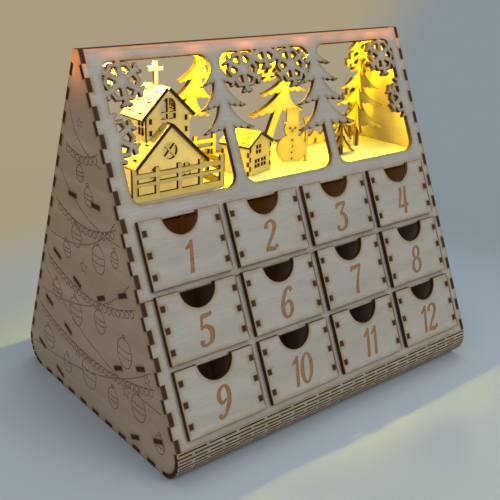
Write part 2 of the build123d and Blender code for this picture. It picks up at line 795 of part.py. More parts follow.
# Snowman with a top hat and a broom
head_height = 2 * snowman_body + 0.35 * snowman_head
brim_height = head_height + 0.75 * snowman_head
snowman_spot = Location((snowman_x, snowman_y, scene_level), (0, 0, snowman_turn))
with BuildPart() as snowman:
    with BuildSketch(Plane.XZ.offset(-thin_ply / 2)):
        with Locations((0, 0.85 * snowman_body)):
            Circle(snowman_body)
        with Locations((0, head_height)):
            Circle(snowman_head)
        with Locations((0, brim_height)):
            Rectangle(*hat_brim)
        with Locations((0, brim_height + hat_crown[1] / 2)):
            Rectangle(*hat_crown)
        with Locations((snowman_body, broom_length / 2)):
            Rectangle(broom_stick, broom_length)
        with Locations((snowman_body, broom_length - broom_head / 2)):
            Trapezoid(broom_head, broom_head, 75, rotation=180)
        with Locations((0, -snowman_body)):
            Rectangle(4 * snowman_body, 2 * snowman_body, mode=Mode.SUBTRACT)
        with Locations(*[(0, 0.85 * snowman_body + button_pitch * (i - 1.5)) for i in range(4)]):
            Circle(button_radius, mode=Mode.SUBTRACT)
        with Locations(*[(x, head_height + lift) for x, lift in face_marks]):
            Circle(button_radius, mode=Mode.SUBTRACT)
    extrude(amount=thin_ply)
write("snowman", snowman.part.moved(snowman_spot))

# Row of small houses at the back
with BuildPart() as village_row:
    with BuildSketch(Plane.XZ.offset(-village_y)):
        for i in range(village_houses):
            x = village_x + village_house * (i - (village_houses - 1) / 2)
            half = village_house / 2
            roof = [(half, village_eave), (0, village_eave + village_rise), (-half, village_eave)]
            with BuildLine():
                places = [(-half, 0), (half, 0), *roof]
                Polyline(*[(x + dx, scene_level + dz) for dx, dz in places], close=True)
            make_face()
            with Locations((x, scene_level + village_eave / 2)):
                Rectangle(village_house / 4, village_eave / 2.5, mode=Mode.SUBTRACT)
    extrude(amount=thin_ply)
write("village_row", village_row.part)

write("large_fir", *standing_fir(large_fir_boughs, large_fir_height, large_fir_place))
write("front_fir", *standing_fir(front_fir_boughs, front_fir_height, front_fir_place))
write("rear_fir", *standing_fir(rear_fir_boughs, rear_fir_height, rear_fir_place))

# Lights: a strip wedged under the ridge with beads along its lower face
strip_top = house_height - (strip_width / 2 + strip_seat + ply / run - ridge_half) / tan(radians(lean))
strip_bottom = strip_top - strip_thickness
with BuildPart() as led_strip:
    with Locations((0, 0, strip_top - strip_thickness / 2)):
        Box(2 * (inner_half - strip_end_gap), strip_width, strip_thickness)
write("led_strip", led_strip.part)
with BuildPart() as bead:
    with BuildSketch():
        Circle(bead_radius)
    extrude(amount=-bead_height)
    fillet(bead.faces().sort_by(Axis.Z)[0].edges(), 0.45 * bead_radius)
write("led_beads", *[bead.part.moved(Location((x, 0, strip_bottom))) for x in bead_places])

# Battery pack for the lights, standing in the tower
pack_spot = Location((tower_x, 0, scene_level))
switch_width, switch_stem, switch_height = switch_size
with BuildPart() as battery_case:
    with Locations((0, -pack_cover / 2, pack_height / 2)):
        Box(pack_width, pack_thickness - pack_cover, pack_height)
    with Locations((0, -pack_cover / 2 + pack_wall / 2, pack_height / 2)):
        Box(
            pack_width - 2 * pack_wall,
            pack_thickness - pack_cover - pack_wall,
            pack_height - 2 * pack_wall,
            mode=Mode.SUBTRACT,
        )
write("battery_case", battery_case.part.moved(pack_spot))
cover_y = pack_thickness / 2 - pack_cover / 2
switch_level = pack_height - switch_drop
with BuildPart() as battery_cover:
    with Locations((0, cover_y, pack_height / 2)):
        Box(pack_width, pack_cover, pack_height)
    with Locations((switch_travel / 2, cover_y, switch_level)):
        Box(
            switch_width + switch_travel + 2 * switch_clearance,
            pack_cover,
            switch_height + 2 * switch_clearance,
            mode=Mode.SUBTRACT,
        )
write("battery_cover", battery_cover.part.moved(pack_spot))
cell_level = pack_wall + cell_gap + cell_radius
cell_back = -pack_thickness / 2 + pack_wall
with BuildPart() as cell:
    with BuildSketch(Plane.XZ.offset(-cell_back)):
        with Locations((0, cell_level)):
            Circle(cell_radius)
    extrude(amount=-cell_thickness)
write("coin_cells", *[cell.part.moved(pack_spot * Location((0, i * cell_thickness, 0))) for i in range(2)])
with BuildPart() as switch_slider:
    with Locations((0, pack_thickness / 2 - switch_stem / 2 + pack_cover / 2, switch_level)):
        Box(switch_width, switch_stem, switch_height)
write("switch_slider", switch_slider.part.moved(pack_spot))
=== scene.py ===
"""Wooden advent calendar: the looks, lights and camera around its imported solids.

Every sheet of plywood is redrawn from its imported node. The broad faces are cut into a fine net that
knows how far each point lies from the nearest cut, so the wood is scorched where the cutting beam
passed, and the narrow faces are burnt. Lengths are metres unless a comment says otherwise; +X runs
along the ridge, the front faces -Y and +Z is up.
"""

import logging
import math
from collections.abc import Callable
from dataclasses import dataclass, field
from enum import Enum
from functools import partial

import bpy
import numpy as np
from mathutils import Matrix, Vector, geometry


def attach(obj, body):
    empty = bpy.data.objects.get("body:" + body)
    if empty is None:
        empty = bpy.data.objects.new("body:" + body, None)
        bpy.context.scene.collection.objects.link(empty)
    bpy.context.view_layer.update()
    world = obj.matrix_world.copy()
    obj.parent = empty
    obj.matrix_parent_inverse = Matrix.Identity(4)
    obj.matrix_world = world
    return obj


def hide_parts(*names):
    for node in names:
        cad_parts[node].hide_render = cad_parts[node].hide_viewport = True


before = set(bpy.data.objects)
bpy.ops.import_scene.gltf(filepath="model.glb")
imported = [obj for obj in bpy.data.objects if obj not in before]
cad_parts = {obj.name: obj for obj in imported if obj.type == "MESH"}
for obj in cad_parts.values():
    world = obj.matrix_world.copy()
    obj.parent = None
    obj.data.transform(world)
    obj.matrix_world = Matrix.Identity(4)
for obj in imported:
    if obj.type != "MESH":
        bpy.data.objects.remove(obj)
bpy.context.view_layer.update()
LOG = logging.getLogger("calendar")
MM = 0.001
BLACK = (0, 0, 0, 1)
BLOCK = 4_000_000  # pairs of points and lines compared at once
TINY = 1e-12  # stands in for a height of nothing in a division
LEAST_SQUARE = 1e-18  # stands in for the squared length of a line that is a point
Array = np.ndarray
Socket = bpy.types.NodeSocket
Material = bpy.types.Material


class Zone(Enum):
    """Kinds of surface on a sheet; the value is the material slot."""

    FACE = 0
    EDGE = 1
    ENGRAVED = 2


def stand(name: str, data: bpy.types.ID) -> bpy.types.Object:
    """Add an object with this data to the scene."""
    piece = bpy.data.objects.new(name, data)
    bpy.context.scene.collection.objects.link(piece)
    return piece


def disc_lamp(name: str, place: tuple, size: float, power: float, tint: tuple) -> bpy.types.Object:
    """Add a round lamp that shines straight down.

    Args:
        name: Name of the lamp.
        place: Where it hangs.
        size: Width of its disc.
        power: Power in watts.
        tint: Colour of its light.

    Returns:
        The new lamp.
    """
    light = bpy.data.lights.new(name, "AREA")
    light.shape, light.size, light.energy, light.color = "DISK", size, power, tint
    lamp = stand(name, light)
    lamp.location = place
    return lamp


# finishes


class Graph:
    """Adds and links the nodes of one material."""

    def __init__(self, name: str) -> None:
        """Start a material with its plain shader."""
        self.material = bpy.data.materials.new(name)
        self.material.use_nodes = True
        self.tree = self.material.node_tree
        self.shader = self.tree.nodes["Principled BSDF"]

    def put(self, node: bpy.types.Node, inputs: dict) -> None:
        """Set or link a node's inputs; a socket is linked and anything else is set."""
        for key, value in inputs.items():
            if isinstance(value, Socket):
                self.tree.links.new(value, node.inputs[key])
            else:
                node.inputs[key].default_value = value

    def add(self, kind: str, inputs: dict | None = None, **settings: object) -> bpy.types.Node:
        """Add a node.

        Args:
            kind: Node type without its ShaderNode prefix.
            inputs: Values or sockets by input name or number.
            settings: Properties of the node itself.

        Returns:
            The new node.
        """
        node = self.tree.nodes.new("ShaderNode" + kind)
        for key, value in settings.items():
            setattr(node, key, value)
        self.put(node, inputs or {})
        return node

    def noise(self, place: Socket, stretch: tuple, **inputs: float) -> Socket:
        """Noise stretched to so many features a metre on each axis; returns its value."""
        mapped = self.add("Mapping", {"Vector": place, "Scale": stretch})
        named = {key.replace("_", " ").title(): value for key, value in inputs.items()}
        return self.add("TexNoise", {"Vector": mapped.outputs[0], "Scale": 1.0, **named}).outputs["Fac"]

    def span(self, value: Socket, low: float, high: float, start: float = 0.0, end: float = 1.0) -> Socket:
        """Carry a value's range low to high over to start to end, smoothly and clamped."""
        inputs = {"Value": value, "From Min": low, "From Max": high, "To Min": start, "To Max": end}
        return self.add("MapRange", inputs, interpolation_type="SMOOTHSTEP").outputs[0]

    def mix(self, share: object, first: object, second: object) -> Socket:
        """Colour between two others."""
        node = self.add("Mix", data_type="RGBA")
        self.put(node, {0: share, 6: first, 7: second})
        return node.outputs[2]

    def math(self, work: str, first: object, second: object) -> Socket:
        """One operation on two values."""
        return self.add("Math", {0: first, 1: second}, operation=work).outputs[0]

    def sheet(self) -> Socket:
        """Place on the flat map of a sheet."""
        return self.add("UVMap", uv_map="sheet").outputs[0]

    def attribute(self, name: str) -> Socket:
        """Value that the mesh carries at each corner."""
        return self.add("Attribute", attribute_name=name).outputs["Fac"]

    def surface(self, tone: Socket, roughness: Socket | float, specular: float = 0.5) -> None:
        """Set the shader's colour, roughness and specular level."""
        self.put(self.shader, {"Base Color": tone, "Roughness": roughness, "Specular IOR Level": specular})

    def glow(self, tone: Socket, strength: Socket | float) -> None:
        """Let the surface give off light of its own."""
        self.put(self.shader, {"Emission Color": tone, "Emission Strength": strength})

    def bump(self, height: Socket, depth: float) -> None:
        """Roughen the surface by a height, at most so many metres deep."""
        node = self.add("Bump", {"Height": height, "Strength": 1.0, "Distance": depth})
        self.put(self.shader, {"Normal": node.outputs[0]})


def colour(red: int, green: int, blue: int) -> tuple[float, float, float, float]:
    """Linear colour from 8-bit display values."""
    shown = np.array([red, green, blue]) / 255
    linear = np.where(shown <= 0.04045, shown / 12.92, ((shown + 0.055) / 1.055) ** 2.4)
    return (*(float(value) for value in linear), 1.0)


@dataclass(frozen=True)
class BirchFace:
    """Bare sanded birch face with fibre, flecks, a scorched halo along every cut and painted lamp light given
    off as emission.

    The wood's patterns are given as features a metre along the grain, across it and through it.
    """

    name: str
    pale: tuple = colour(156, 154, 146)
    warm: tuple = colour(148, 145, 135)
    fleck: tuple = colour(112, 101, 84)
    scorch: tuple = colour(130, 107, 60)
    char: tuple = colour(77, 49, 26)
    # painted light: colours of the lamp light painted through the sheet and thrown about inside, given off as
    # emission
    lit: tuple = colour(255, 130, 20)
    bounced: tuple = colour(255, 222, 8)
    fibre: tuple = (70, 1400, 1)
    figure: tuple = (7, 70, 1)
    dash: tuple = (150, 1100, 1)
    smoke: tuple = (120, 120, 1)
    halo: float = 3.4 * MM
    char_width: float = 0.55 * MM
    grain_depth: float = 0.05 * MM

    def make(self) -> Material:
        """Build the material; it reads the sheet map and cut_gap, and paints the glow and bounce values as
        light given off.
        """
        g = Graph(self.name)
        place = g.sheet()
        fibre = g.noise(place, self.fibre, detail=4.0, roughness=0.62)
        figure = g.noise(place, self.figure, detail=3.0, distortion=0.8)
        dashes = g.span(g.noise(place, self.dash, detail=1.0), 0.68, 0.76)
        wood = g.mix(g.span(figure, 0.3, 0.7), self.pale, self.warm)
        wood = g.mix(g.span(fibre, 0.35, 0.75, 0.0, 0.2), wood, self.fleck)
        wood = g.mix(g.math("MULTIPLY", dashes, 0.28), wood, self.fleck)
        gap = g.attribute("cut_gap")
        smoke = g.span(g.noise(place, self.smoke, detail=3.0), 0.3, 0.7, 0.25, 0.8)
        halo = g.math("MULTIPLY", g.span(gap, 0.0, self.halo, 1.0, 0.0), smoke)
        wood = g.mix(halo, wood, self.scorch)
        wood = g.mix(g.span(gap, 0.0, self.char_width, 0.75, 0.0), wood, self.char)
        # painted light: the wood gives off lamp light that no lamp puts there
        through = g.mix(g.attribute("glow"), BLACK, self.lit)
        around = g.mix(g.attribute("bounce"), BLACK, self.bounced)
        light = g.add("VectorMath", {0: through, 1: around}, operation="ADD").outputs[0]
        g.surface(wood, g.span(fibre, 0.3, 0.8, 0.5, 0.68), 0.3)
        g.glow(light, 1.0)
        g.bump(fibre, self.grain_depth)
        return g.material


@dataclass(frozen=True)
class BurntEdge:
    """Cut edge of plywood, browned by the beam, with its layers and fine upright streaks."""

    name: str
    sheet: float = 3.0 * MM
    outer: tuple = colour(60, 32, 20)
    core: tuple = colour(33, 16, 10)
    streak: tuple = colour(84, 52, 32)
    streaks: tuple = (2600, 160, 1)
    core_edge: tuple = (0.15, 0.21)  # where the core ends, in sheet thicknesses from the middle
    grain_depth: float = 0.04 * MM

    def make(self) -> Material:
        """Build the material; the sheet map runs along the edge and through the sheet."""
        g = Graph(self.name)
        place = g.sheet()
        through = g.add("SeparateXYZ", {0: place}).outputs[1]
        middle = g.math("ABSOLUTE", g.math("SUBTRACT", through, self.sheet / 2), 0.0)
        layer = g.span(middle, *(share * self.sheet for share in self.core_edge))
        streaks = g.noise(place, self.streaks, detail=2.0)
        wood = g.mix(layer, self.core, self.outer)
        wood = g.mix(g.span(streaks, 0.45, 0.8, 0.0, 0.55), wood, self.streak)
        g.surface(wood, g.span(streaks, 0.3, 0.7, 0.6, 0.85), 0.25)
        g.bump(streaks, self.grain_depth)
        return g.material


@dataclass(frozen=True)
class Engraving:
    """Floor of an engraved mark: tan scorched wood with the beam's fine lines."""

    name: str
    tan: tuple = colour(145, 112, 75)
    dark: tuple = colour(122, 85, 52)
    raster: tuple = (40, 4200, 1)
    patch: tuple = (160, 160, 1)
    grain_depth: float = 0.05 * MM

    def make(self) -> Material:
        """Build the material from the sheet map."""
        g = Graph(self.name)
        place = g.sheet()
        raster = g.noise(place, self.raster, detail=1.0)
        patch = g.noise(place, self.patch, detail=2.0)
        wood = g.mix(g.span(raster, 0.35, 0.65), self.tan, self.dark)
        wood = g.mix(g.span(patch, 0.4, 0.7, 0.0, 0.5), wood, self.dark)
        g.surface(wood, g.span(raster, 0.3, 0.7, 0.65, 0.85), 0.2)
        g.bump(raster, self.grain_depth)
        return g.material


@dataclass(frozen=True)
class Moulded:
    """Plastic or metal with a fine grain; glow is its own light."""

    name: str
    base: tuple
    worn: tuple
    grain: tuple = (900, 900, 900)
    roughness: tuple = (0.35, 0.55)
    metallic: float = 0.0
    depth: float = 0.02 * MM
    glow: float = 0.0

    def make(self) -> Material:
        """Build the material on the frame's own coordinates."""
        g = Graph(self.name)
        place = g.add("TexCoord").outputs["Object"]
        grain = g.noise(place, self.grain, detail=3.0)
        shade = g.mix(g.span(grain, 0.35, 0.7), self.base, self.worn)
        g.surface(shade, g.span(grain, 0.3, 0.7, *self.roughness))
        g.put(g.shader, {"Metallic": self.metallic})
        if self.glow:
            g.glow(shade, self.glow)
        g.bump(grain, self.depth)
        return g.material


# sheet geometry


@dataclass(frozen=True)
class House:
    """Main sizes of the house."""

    width: float = 256 * MM
    height: float = 230.2 * MM
    lean: float = math.radians(23.4)
    ply: float = 3 * MM
    bend_radius: float = 15.6 * MM
    ridge_gap: float = 0.1 * MM

    @property
    def rise(self) -> float:
        """Outward share of a step down a sloping face."""
        return math.sin(self.lean)

    @property
    def run(self) -> float:
        """Downward share of a step down a sloping face."""
        return math.cos(self.lean)

    @property
    def ridge_half(self) -> float:
        """Half the width across the two top edges."""
        return self.ply * self.run + self.ridge_gap / 2

    @property
    def bend_y(self) -> float:
        """Distance of a rolled edge's axis from the middle."""
        corner = self.ridge_half + self.height * math.tan(self.lean)
        return corner - self.bend_radius / math.tan((math.pi / 2 - self.lean) / 2)

    def half_width(self, level: float) -> float:
        """Half the width of a side panel at a height."""
        return self.ridge_half + (self.height - level) * math.tan(self.lean)

    def down(self, points: Array) -> Array:
        """Distance down the slope of points on either face."""
        out = np.abs(points[:, 1]) - self.ridge_half
        return (self.height - points[:, 2]) * self.run + out * self.rise

    def deep(self, points: Array) -> Array:
        """Distance of points behind the outside of either face."""
        out = np.abs(points[:, 1]) - self.ridge_half
        return (self.height - points[:, 2]) * self.rise - out * self.run


@dataclass(frozen=True)
class Limits:
    """Tolerances for sorting and netting a sheet."""

    merge_steps: float = 5e5  # steps a metre that corners are rounded to
    least_area: float = 1e-13  # twice the area of the smallest triangle kept
    one_plane: float = 0.9999  # the next few are cosines or shares of a normal
    same_face: float = 0.999
    roll_facing: float = 0.96
    along_ridge: float = 0.9
    flat_face: float = 0.02
    same_height: float = 0.2 * MM
    outer_slack: float = 0.1 * MM
    inner_slack: float = 0.3 * MM
    axis_slack: float = 0.01 * MM
    narrow_slack: float = 0.03 * MM
    beside_cut: float = 0.3  # shares of the fine pitch kept free of points
    beside_mark: float = 0.35
    grid_start: tuple = (0.37, 0.41)  # in pitches, so that no row runs along an outline
    weld: float = 1e-5  # millimetres within which points of a new net are one


HOUSE = House()
LIMITS = Limits()


def joined(pairs: Array, count: int) -> Array:
    """Group numbers: items joined by pairs share the lowest number among them.

    Args:
        pairs: Item numbers that belong together, two a row.
        count: How many items there are.

    Returns:
        One group number for each item, from 0 up.
    """
    group = np.arange(count)
    while True:
        low = np.minimum(group[pairs[:, 0]], group[pairs[:, 1]])
        following = group.copy()
        np.minimum.at(following, pairs[:, 0], low)
        np.minimum.at(following, pairs[:, 1], low)
        following = following[following]
        if np.array_equal(following, group):
            return np.unique(group, return_inverse=True)[1]
        group = following


def edges(triangles: Array) -> Array:
    """Each triangle's three edges as corner pairs, first edges before second ones."""
    return np.concatenate([triangles[:, (0, 1)], triangles[:, (1, 2)], triangles[:, (2, 0)]])


def blocks(points: Array, lines: Array) -> list[Array]:
    """Numbers of the points, in parts small enough to be compared with all the lines at once."""
    return np.array_split(np.arange(len(points)), len(points) * len(lines) // BLOCK + 1)


def outline(loops: list[Array]) -> tuple[Array, Array]:
    """First and second ends of the lines round closed loops."""
    return np.concatenate(loops), np.concatenate([np.roll(loop, -1, axis=0) for loop in loops])


def inside(points: Array, starts: Array, ends: Array) -> Array:
    """Even-odd test: which flat points have an odd number of lines to their right.

    Args:
        points: Flat points, two columns.
        starts: First ends of the lines.
        ends: Second ends of the lines.

    Returns:
        True for each point inside.
    """
    found = np.zeros(len(points), bool)
    tall = ends[:, 1] - starts[:, 1]
    slope = (ends[:, 0] - starts[:, 0]) / np.where(tall == 0, TINY, tall)
    for part in blocks(points, starts):
        x, y = points[part, 0, None], points[part, 1, None]
        crosses = (starts[:, 1] > y) != (ends[:, 1] > y)
        found[part] = (crosses & (x < starts[:, 0] + slope * (y - starts[:, 1]))).sum(axis=1) % 2 == 1
    return found


def distance(points: Array, starts: Array, ends: Array) -> Array:
    """Distance from each flat point to the nearest of the lines.

    Args:
        points: Flat points, two columns.
        starts: First ends of the lines.
        ends: Second ends of the lines.

    Returns:
        One distance for each point.
    """
    along = ends - starts
    length = np.maximum((along**2).sum(axis=1), LEAST_SQUARE)
    nearest = np.empty(len(points))
    for part in blocks(points, starts):
        offset = points[part, None, :] - starts
        share = np.clip((offset * along).sum(axis=2) / length, 0, 1)
        nearest[part] = np.sqrt(((offset - share[..., None] * along) ** 2).sum(axis=2).min(axis=1))
    return nearest


@dataclass
class Net:
    """Mesh under construction: corners, triangles, their zone, flat map and distance to the cut."""

    points: list = field(default_factory=list)
    triangles: list = field(default_factory=list)
    zones: list = field(default_factory=list)
    maps: list = field(default_factory=list)
    gaps: list = field(default_factory=list)
    count: int = 0

    def add(self, points: Array, triangles: Array, zone: Zone, flat: Array, gaps: Array) -> None:
        """Add corners and the triangles between them.

        Args:
            points: Corners in space.
            triangles: Numbers of the corners, from 0 for the first one given.
            zone: Kind of surface.
            flat: Place of each corner on the sheet's map.
            gaps: Distance of each corner from the nearest cut.
        """
        self.points.append(points)
        self.triangles.append(triangles + self.count)
        self.zones.append(np.full(len(triangles), zone.value))
        self.maps.append(flat)
        self.gaps.append(gaps)
        self.count += len(points)

    def make(self, name: str, finishes: list[Material], glow: Array | None = None) -> bpy.types.Object:
        """Turn the net into an object.

        Args:
            name: Name of the piece.
            finishes: Materials by zone.
            glow: Painted light through the sheet and painted light thrown about inside the house at each
                corner, or none.

        Returns:
            The new object, at the origin.
        """
        points, triangles = np.concatenate(self.points), np.concatenate(self.triangles)
        mesh = bpy.data.meshes.new(name)
        mesh.vertices.add(len(points))
        mesh.vertices.foreach_set("co", points.astype(np.float32).ravel())
        mesh.loops.add(triangles.size)
        mesh.loops.foreach_set("vertex_index", triangles.astype(np.int32).ravel())
        mesh.polygons.add(len(triangles))
        mesh.polygons.foreach_set("loop_start", np.arange(0, triangles.size, 3, dtype=np.int32))
        mesh.polygons.foreach_set("material_index", np.concatenate(self.zones).astype(np.int32))
        mesh.update(calc_edges=True)
        sheet = mesh.uv_layers.new(name="sheet")
        sheet.data.foreach_set("uv", np.concatenate(self.maps)[triangles.ravel()].astype(np.float32).ravel())
        gap = mesh.attributes.new("cut_gap", "FLOAT", "POINT")
        gap.data.foreach_set("value", np.concatenate(self.gaps).astype(np.float32))
        shares = np.zeros((len(points), 2)) if glow is None else glow
        # painted light: both values are given off as emission by the wood's material
        for column, label in enumerate(("glow", "bounce")):
            lit = mesh.attributes.new(label, "FLOAT", "POINT")
            lit.data.foreach_set("value", shares[:, column].astype(np.float32))
        for finish in finishes:
            mesh.materials.append(finish)
        mesh.validate()
        return stand(name, mesh)


@dataclass(frozen=True)
class Outside:
    """Picks the one broad face that looks a given way at a given height."""

    out: Array
    height: float

    def __call__(self, normal: Array, height: float) -> bool:
        """Whether a face with this normal and height is the one."""
        faces = float(normal @ self.out) > LIMITS.same_face
        return faces and abs(height - self.height) < LIMITS.same_height


@dataclass
class Sheet:
    """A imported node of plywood, sorted into broad faces and cut edges.

    Triangles that share an edge and lie in one plane make a region. A region no wider than the sheet is
    thick is a cut edge; any other is a broad face, which is netted again with points at two spacings,
    close ones near the cuts.
    """

    node: str
    thick: float = 3.0 * MM
    fine: float = 1.7 * MM
    coarse: float = 7.0 * MM
    band: float = 4.5 * MM
    marks: list = field(default_factory=list)
    engraved_depth: float = 0.25 * MM
    rolled_gap: float = 0.6 * MM  # distance to a cut all over a rolled edge, where the slits lie close

    def read(self) -> None:
        """Take the node's triangles with their doubled corners merged."""
        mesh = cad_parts[self.node].data
        raw = np.empty(len(mesh.vertices) * 3, np.float32)
        mesh.vertices.foreach_get("co", raw)
        mesh.calc_loop_triangles()
        corners = np.empty(len(mesh.loop_triangles) * 3, np.int32)
        mesh.loop_triangles.foreach_get("vertices", corners)
        raw = raw.reshape(-1, 3).astype(float)
        rounded = np.round(raw * LIMITS.merge_steps).astype(np.int64)
        _, first, back = np.unique(rounded, axis=0, return_index=True, return_inverse=True)
        self.points = raw[first]
        triangles = back.reshape(-1)[corners].reshape(-1, 3)
        a, b, c = (self.points[triangles[:, i]] for i in range(3))
        normal = np.cross(b - a, c - a)
        size = np.linalg.norm(normal, axis=1)
        kept = size > LIMITS.least_area
        self.triangles = triangles[kept]
        self.normals = normal[kept] / size[kept, None]
        self.areas = size[kept] / 2

    def regions(self) -> Array:
        """Number of the flat region that each triangle lies in."""
        rows = np.sort(edges(self.triangles), axis=1)
        owner = np.tile(np.arange(len(self.triangles)), 3)
        order = np.lexsort((rows[:, 1], rows[:, 0]))
        rows, owner = rows[order], owner[order]
        same = (rows[1:] == rows[:-1]).all(axis=1)
        lone = same & ~np.append(False, same[:-1]) & ~np.append(same[1:], False)
        first, second = owner[:-1][lone], owner[1:][lone]
        level = (self.normals[first] * self.normals[second]).sum(axis=1) > LIMITS.one_plane
        return joined(np.stack([first[level], second[level]], axis=1), len(self.triangles))

    @staticmethod
    def axes(normal: Array) -> tuple[Array, Array]:
        """Level direction along a face and the direction square to it, from the face's normal."""
        level = np.cross((0.0, 0.0, 1.0), normal)
        if np.linalg.norm(level) < LIMITS.flat_face:
            level = np.array((1.0, 0.0, 0.0))
        level = level / np.linalg.norm(level)
        return level, np.cross(normal, level)

    @staticmethod
    def spans(flat: Array, triangles: Array) -> tuple[Array, Array]:
        """Directions of a region's own edges, and its width square to each.

        Args:
            flat: Flat points of the region.
            triangles: Its triangles between them.

        Returns:
            Turns of the directions, and the widths.
        """
        along = np.concatenate([flat[triangles[:, i]] - flat[triangles[:, i - 1]] for i in range(3)])
        turns = np.unique(np.round(np.arctan2(along[:, 1], along[:, 0]) % math.pi, 4))
        spread = flat @ np.stack([-np.sin(turns), np.cos(turns)])
        return turns, spread.max(axis=0) - spread.min(axis=0)

    def is_rolled(self) -> Array:
        """Which triangles lie on the inside or outside of a rolled bottom edge.

        Returns:
            True for each triangle of a rolled edge.
        """
        middle = self.points[self.triangles].mean(axis=1)
        out = np.abs(middle[:, 1]) - HOUSE.bend_y
        up = middle[:, 2] - HOUSE.bend_radius
        radius = np.hypot(out, up)
        facing = np.abs(self.normals[:, 1] * np.sign(middle[:, 1]) * out + self.normals[:, 2] * up)
        low = HOUSE.bend_radius - self.thick - LIMITS.inner_slack
        near = (radius > low) & (radius < HOUSE.bend_radius + LIMITS.outer_slack)
        return near & (facing > LIMITS.roll_facing * radius) & (out > -LIMITS.axis_slack)

    def add_edge(self, net: Net, triangles: Array, normal: Array) -> None:
        """Add one cut edge, mapped along its length and through the sheet.

        Args:
            net: Mesh under construction.
            triangles: The edge's triangles.
            normal: Its outward direction.
        """
        used, corners = np.unique(triangles, return_inverse=True)
        points = self.points[used]
        corners = corners.reshape(-1, 3)
        flat = points @ np.stack(self.axes(normal), axis=1)
        turns, widths = self.spans(flat, corners)
        turn = turns[np.abs(widths - self.thick).argmin()]
        through = flat @ np.array([-math.sin(turn), math.cos(turn)])
        along = flat @ np.array([math.cos(turn), math.sin(turn)])
        mapped = np.stack([along, through - through.min()], axis=1)
        net.add(points, corners, Zone.EDGE, mapped, np.zeros(len(points)))

    def add_face(self, net: Net, triangles: Array, normal: Array, shift: float) -> None:
        """Net one broad face again and add it, with any engraved marks that lie on it.

        Args:
            net: Mesh under construction.
            triangles: The face's own triangles.
            normal: Its outward direction.
            shift: Offset that keeps one sheet's grain from matching another's.
        """
        level, upright = self.axes(normal)
        lines, uses = np.unique(np.sort(edges(triangles), axis=1), axis=0, return_counts=True)
        lines = lines[uses == 1]
        used, ends = np.unique(lines, return_inverse=True)
        ends = ends.reshape(-1, 2)
        height = float(self.points[triangles[0, 0]] @ normal)
        flat = self.points[used] @ np.stack([level, upright], axis=1)
        starts, stops = flat[ends[:, 0]], flat[ends[:, 1]]
        seeds = self.seeds(flat, starts, stops)
        marks = [mark for place, mark in self.marks if place(normal, height)]
        loops = [loop for mark in marks for line in mark for loop in line]
        given, joins = [flat, seeds], ends
        if loops:
            heads, tails = outline(loops)
            seeds = seeds[distance(seeds, heads, tails) > LIMITS.beside_mark * self.fine]
            steps = np.split(np.arange(len(heads)), np.cumsum([len(loop) for loop in loops])[:-1])
            turns = np.stack(outline(steps), axis=1) + len(flat)
            given, joins = [flat, heads, seeds], np.concatenate([ends, turns])
        spread = (np.concatenate(given) / MM).tolist()
        made = geometry.delaunay_2d_cdt(spread, joins.tolist(), [], 0, LIMITS.weld, False)
        points = np.array([tuple(point) for point in made[0]]) * MM
        corners = np.array(made[2])
        corners = corners[inside(points[corners].mean(axis=1), starts, stops)]
        gaps = distance(points, starts, stops)
        solid = points @ np.stack([level, upright]) + height * normal
        mapped = points + shift
        middles = points[corners].mean(axis=1)
        sunk = np.zeros(len(corners), bool)
        for mark in marks:
            for line in mark:
                sunk |= inside(middles, *outline(line))
        net.add(solid, corners[~sunk], Zone.FACE, mapped, gaps)
        if loops:
            low = solid - self.engraved_depth * normal
            net.add(low, corners[sunk], Zone.ENGRAVED, mapped, gaps)
            self.add_rims(net, corners[sunk], solid, low, mapped)

    @staticmethod
    def add_rims(net: Net, triangles: Array, solid: Array, low: Array, mapped: Array) -> None:
        """Add the low walls round engraved marks.

        Args:
            net: Mesh under construction.
            triangles: Triangles of the marks' floors.
            solid: Corners on the face.
            low: The same corners on the floors.
            mapped: Their places on the sheet's map.
        """
        rims = edges(triangles)
        _, back, uses = np.unique(np.sort(rims, axis=1), axis=0, return_inverse=True, return_counts=True)
        first, second = rims[uses[back.reshape(-1)] == 1].T
        count = len(first)
        step = np.arange(count)
        upper = np.stack([step, step + 2 * count, step + 3 * count], axis=1)
        lower = np.stack([step, step + 3 * count, step + count], axis=1)
        wall = np.concatenate([solid[first], solid[second], low[first], low[second]])
        flat = np.tile(mapped[first], (4, 1))
        net.add(wall, np.concatenate([upper, lower]), Zone.ENGRAVED, flat, np.zeros(4 * count))

    def seeds(self, flat: Array, starts: Array, stops: Array) -> Array:
        """Points inside a face on two six-sided grids, the closer one only near the cuts.

        Args:
            flat: Corners of the face's outline.
            starts: First ends of the outline's lines.
            stops: Second ends of the outline's lines.

        Returns:
            The points, two columns.
        """
        low, high = flat.min(axis=0), flat.max(axis=0)
        kept = []
        for pitch in (self.fine, self.coarse):
            row = pitch * math.sqrt(3) / 2
            x = np.arange(low[0] + LIMITS.grid_start[0] * pitch, high[0], pitch)
            y = np.arange(low[1] + LIMITS.grid_start[1] * row, high[1], row)
            if not len(x) or not len(y):
                continue
            across, up = np.meshgrid(x, y)
            across = across + pitch / 2 * (np.arange(len(y)) % 2)[:, None]
            grid = np.stack([across.ravel(), up.ravel()], axis=1)
            grid = grid[inside(grid, starts, stops)]
            gap = distance(grid, starts, stops) if len(grid) else np.zeros(0)
            near = (gap > LIMITS.beside_cut * self.fine) & (gap < self.band)
            kept.append(grid[near] if pitch == self.fine else grid[gap >= self.band])
        return np.concatenate(kept) if kept else np.zeros((0, 2))

    def grain(self, number: int) -> float:
        """Offset of a face's grain, so that it matches neither another sheet nor the sheet's own back."""
        return 0.137 * (number % 7) + 0.011 * len(self.node)

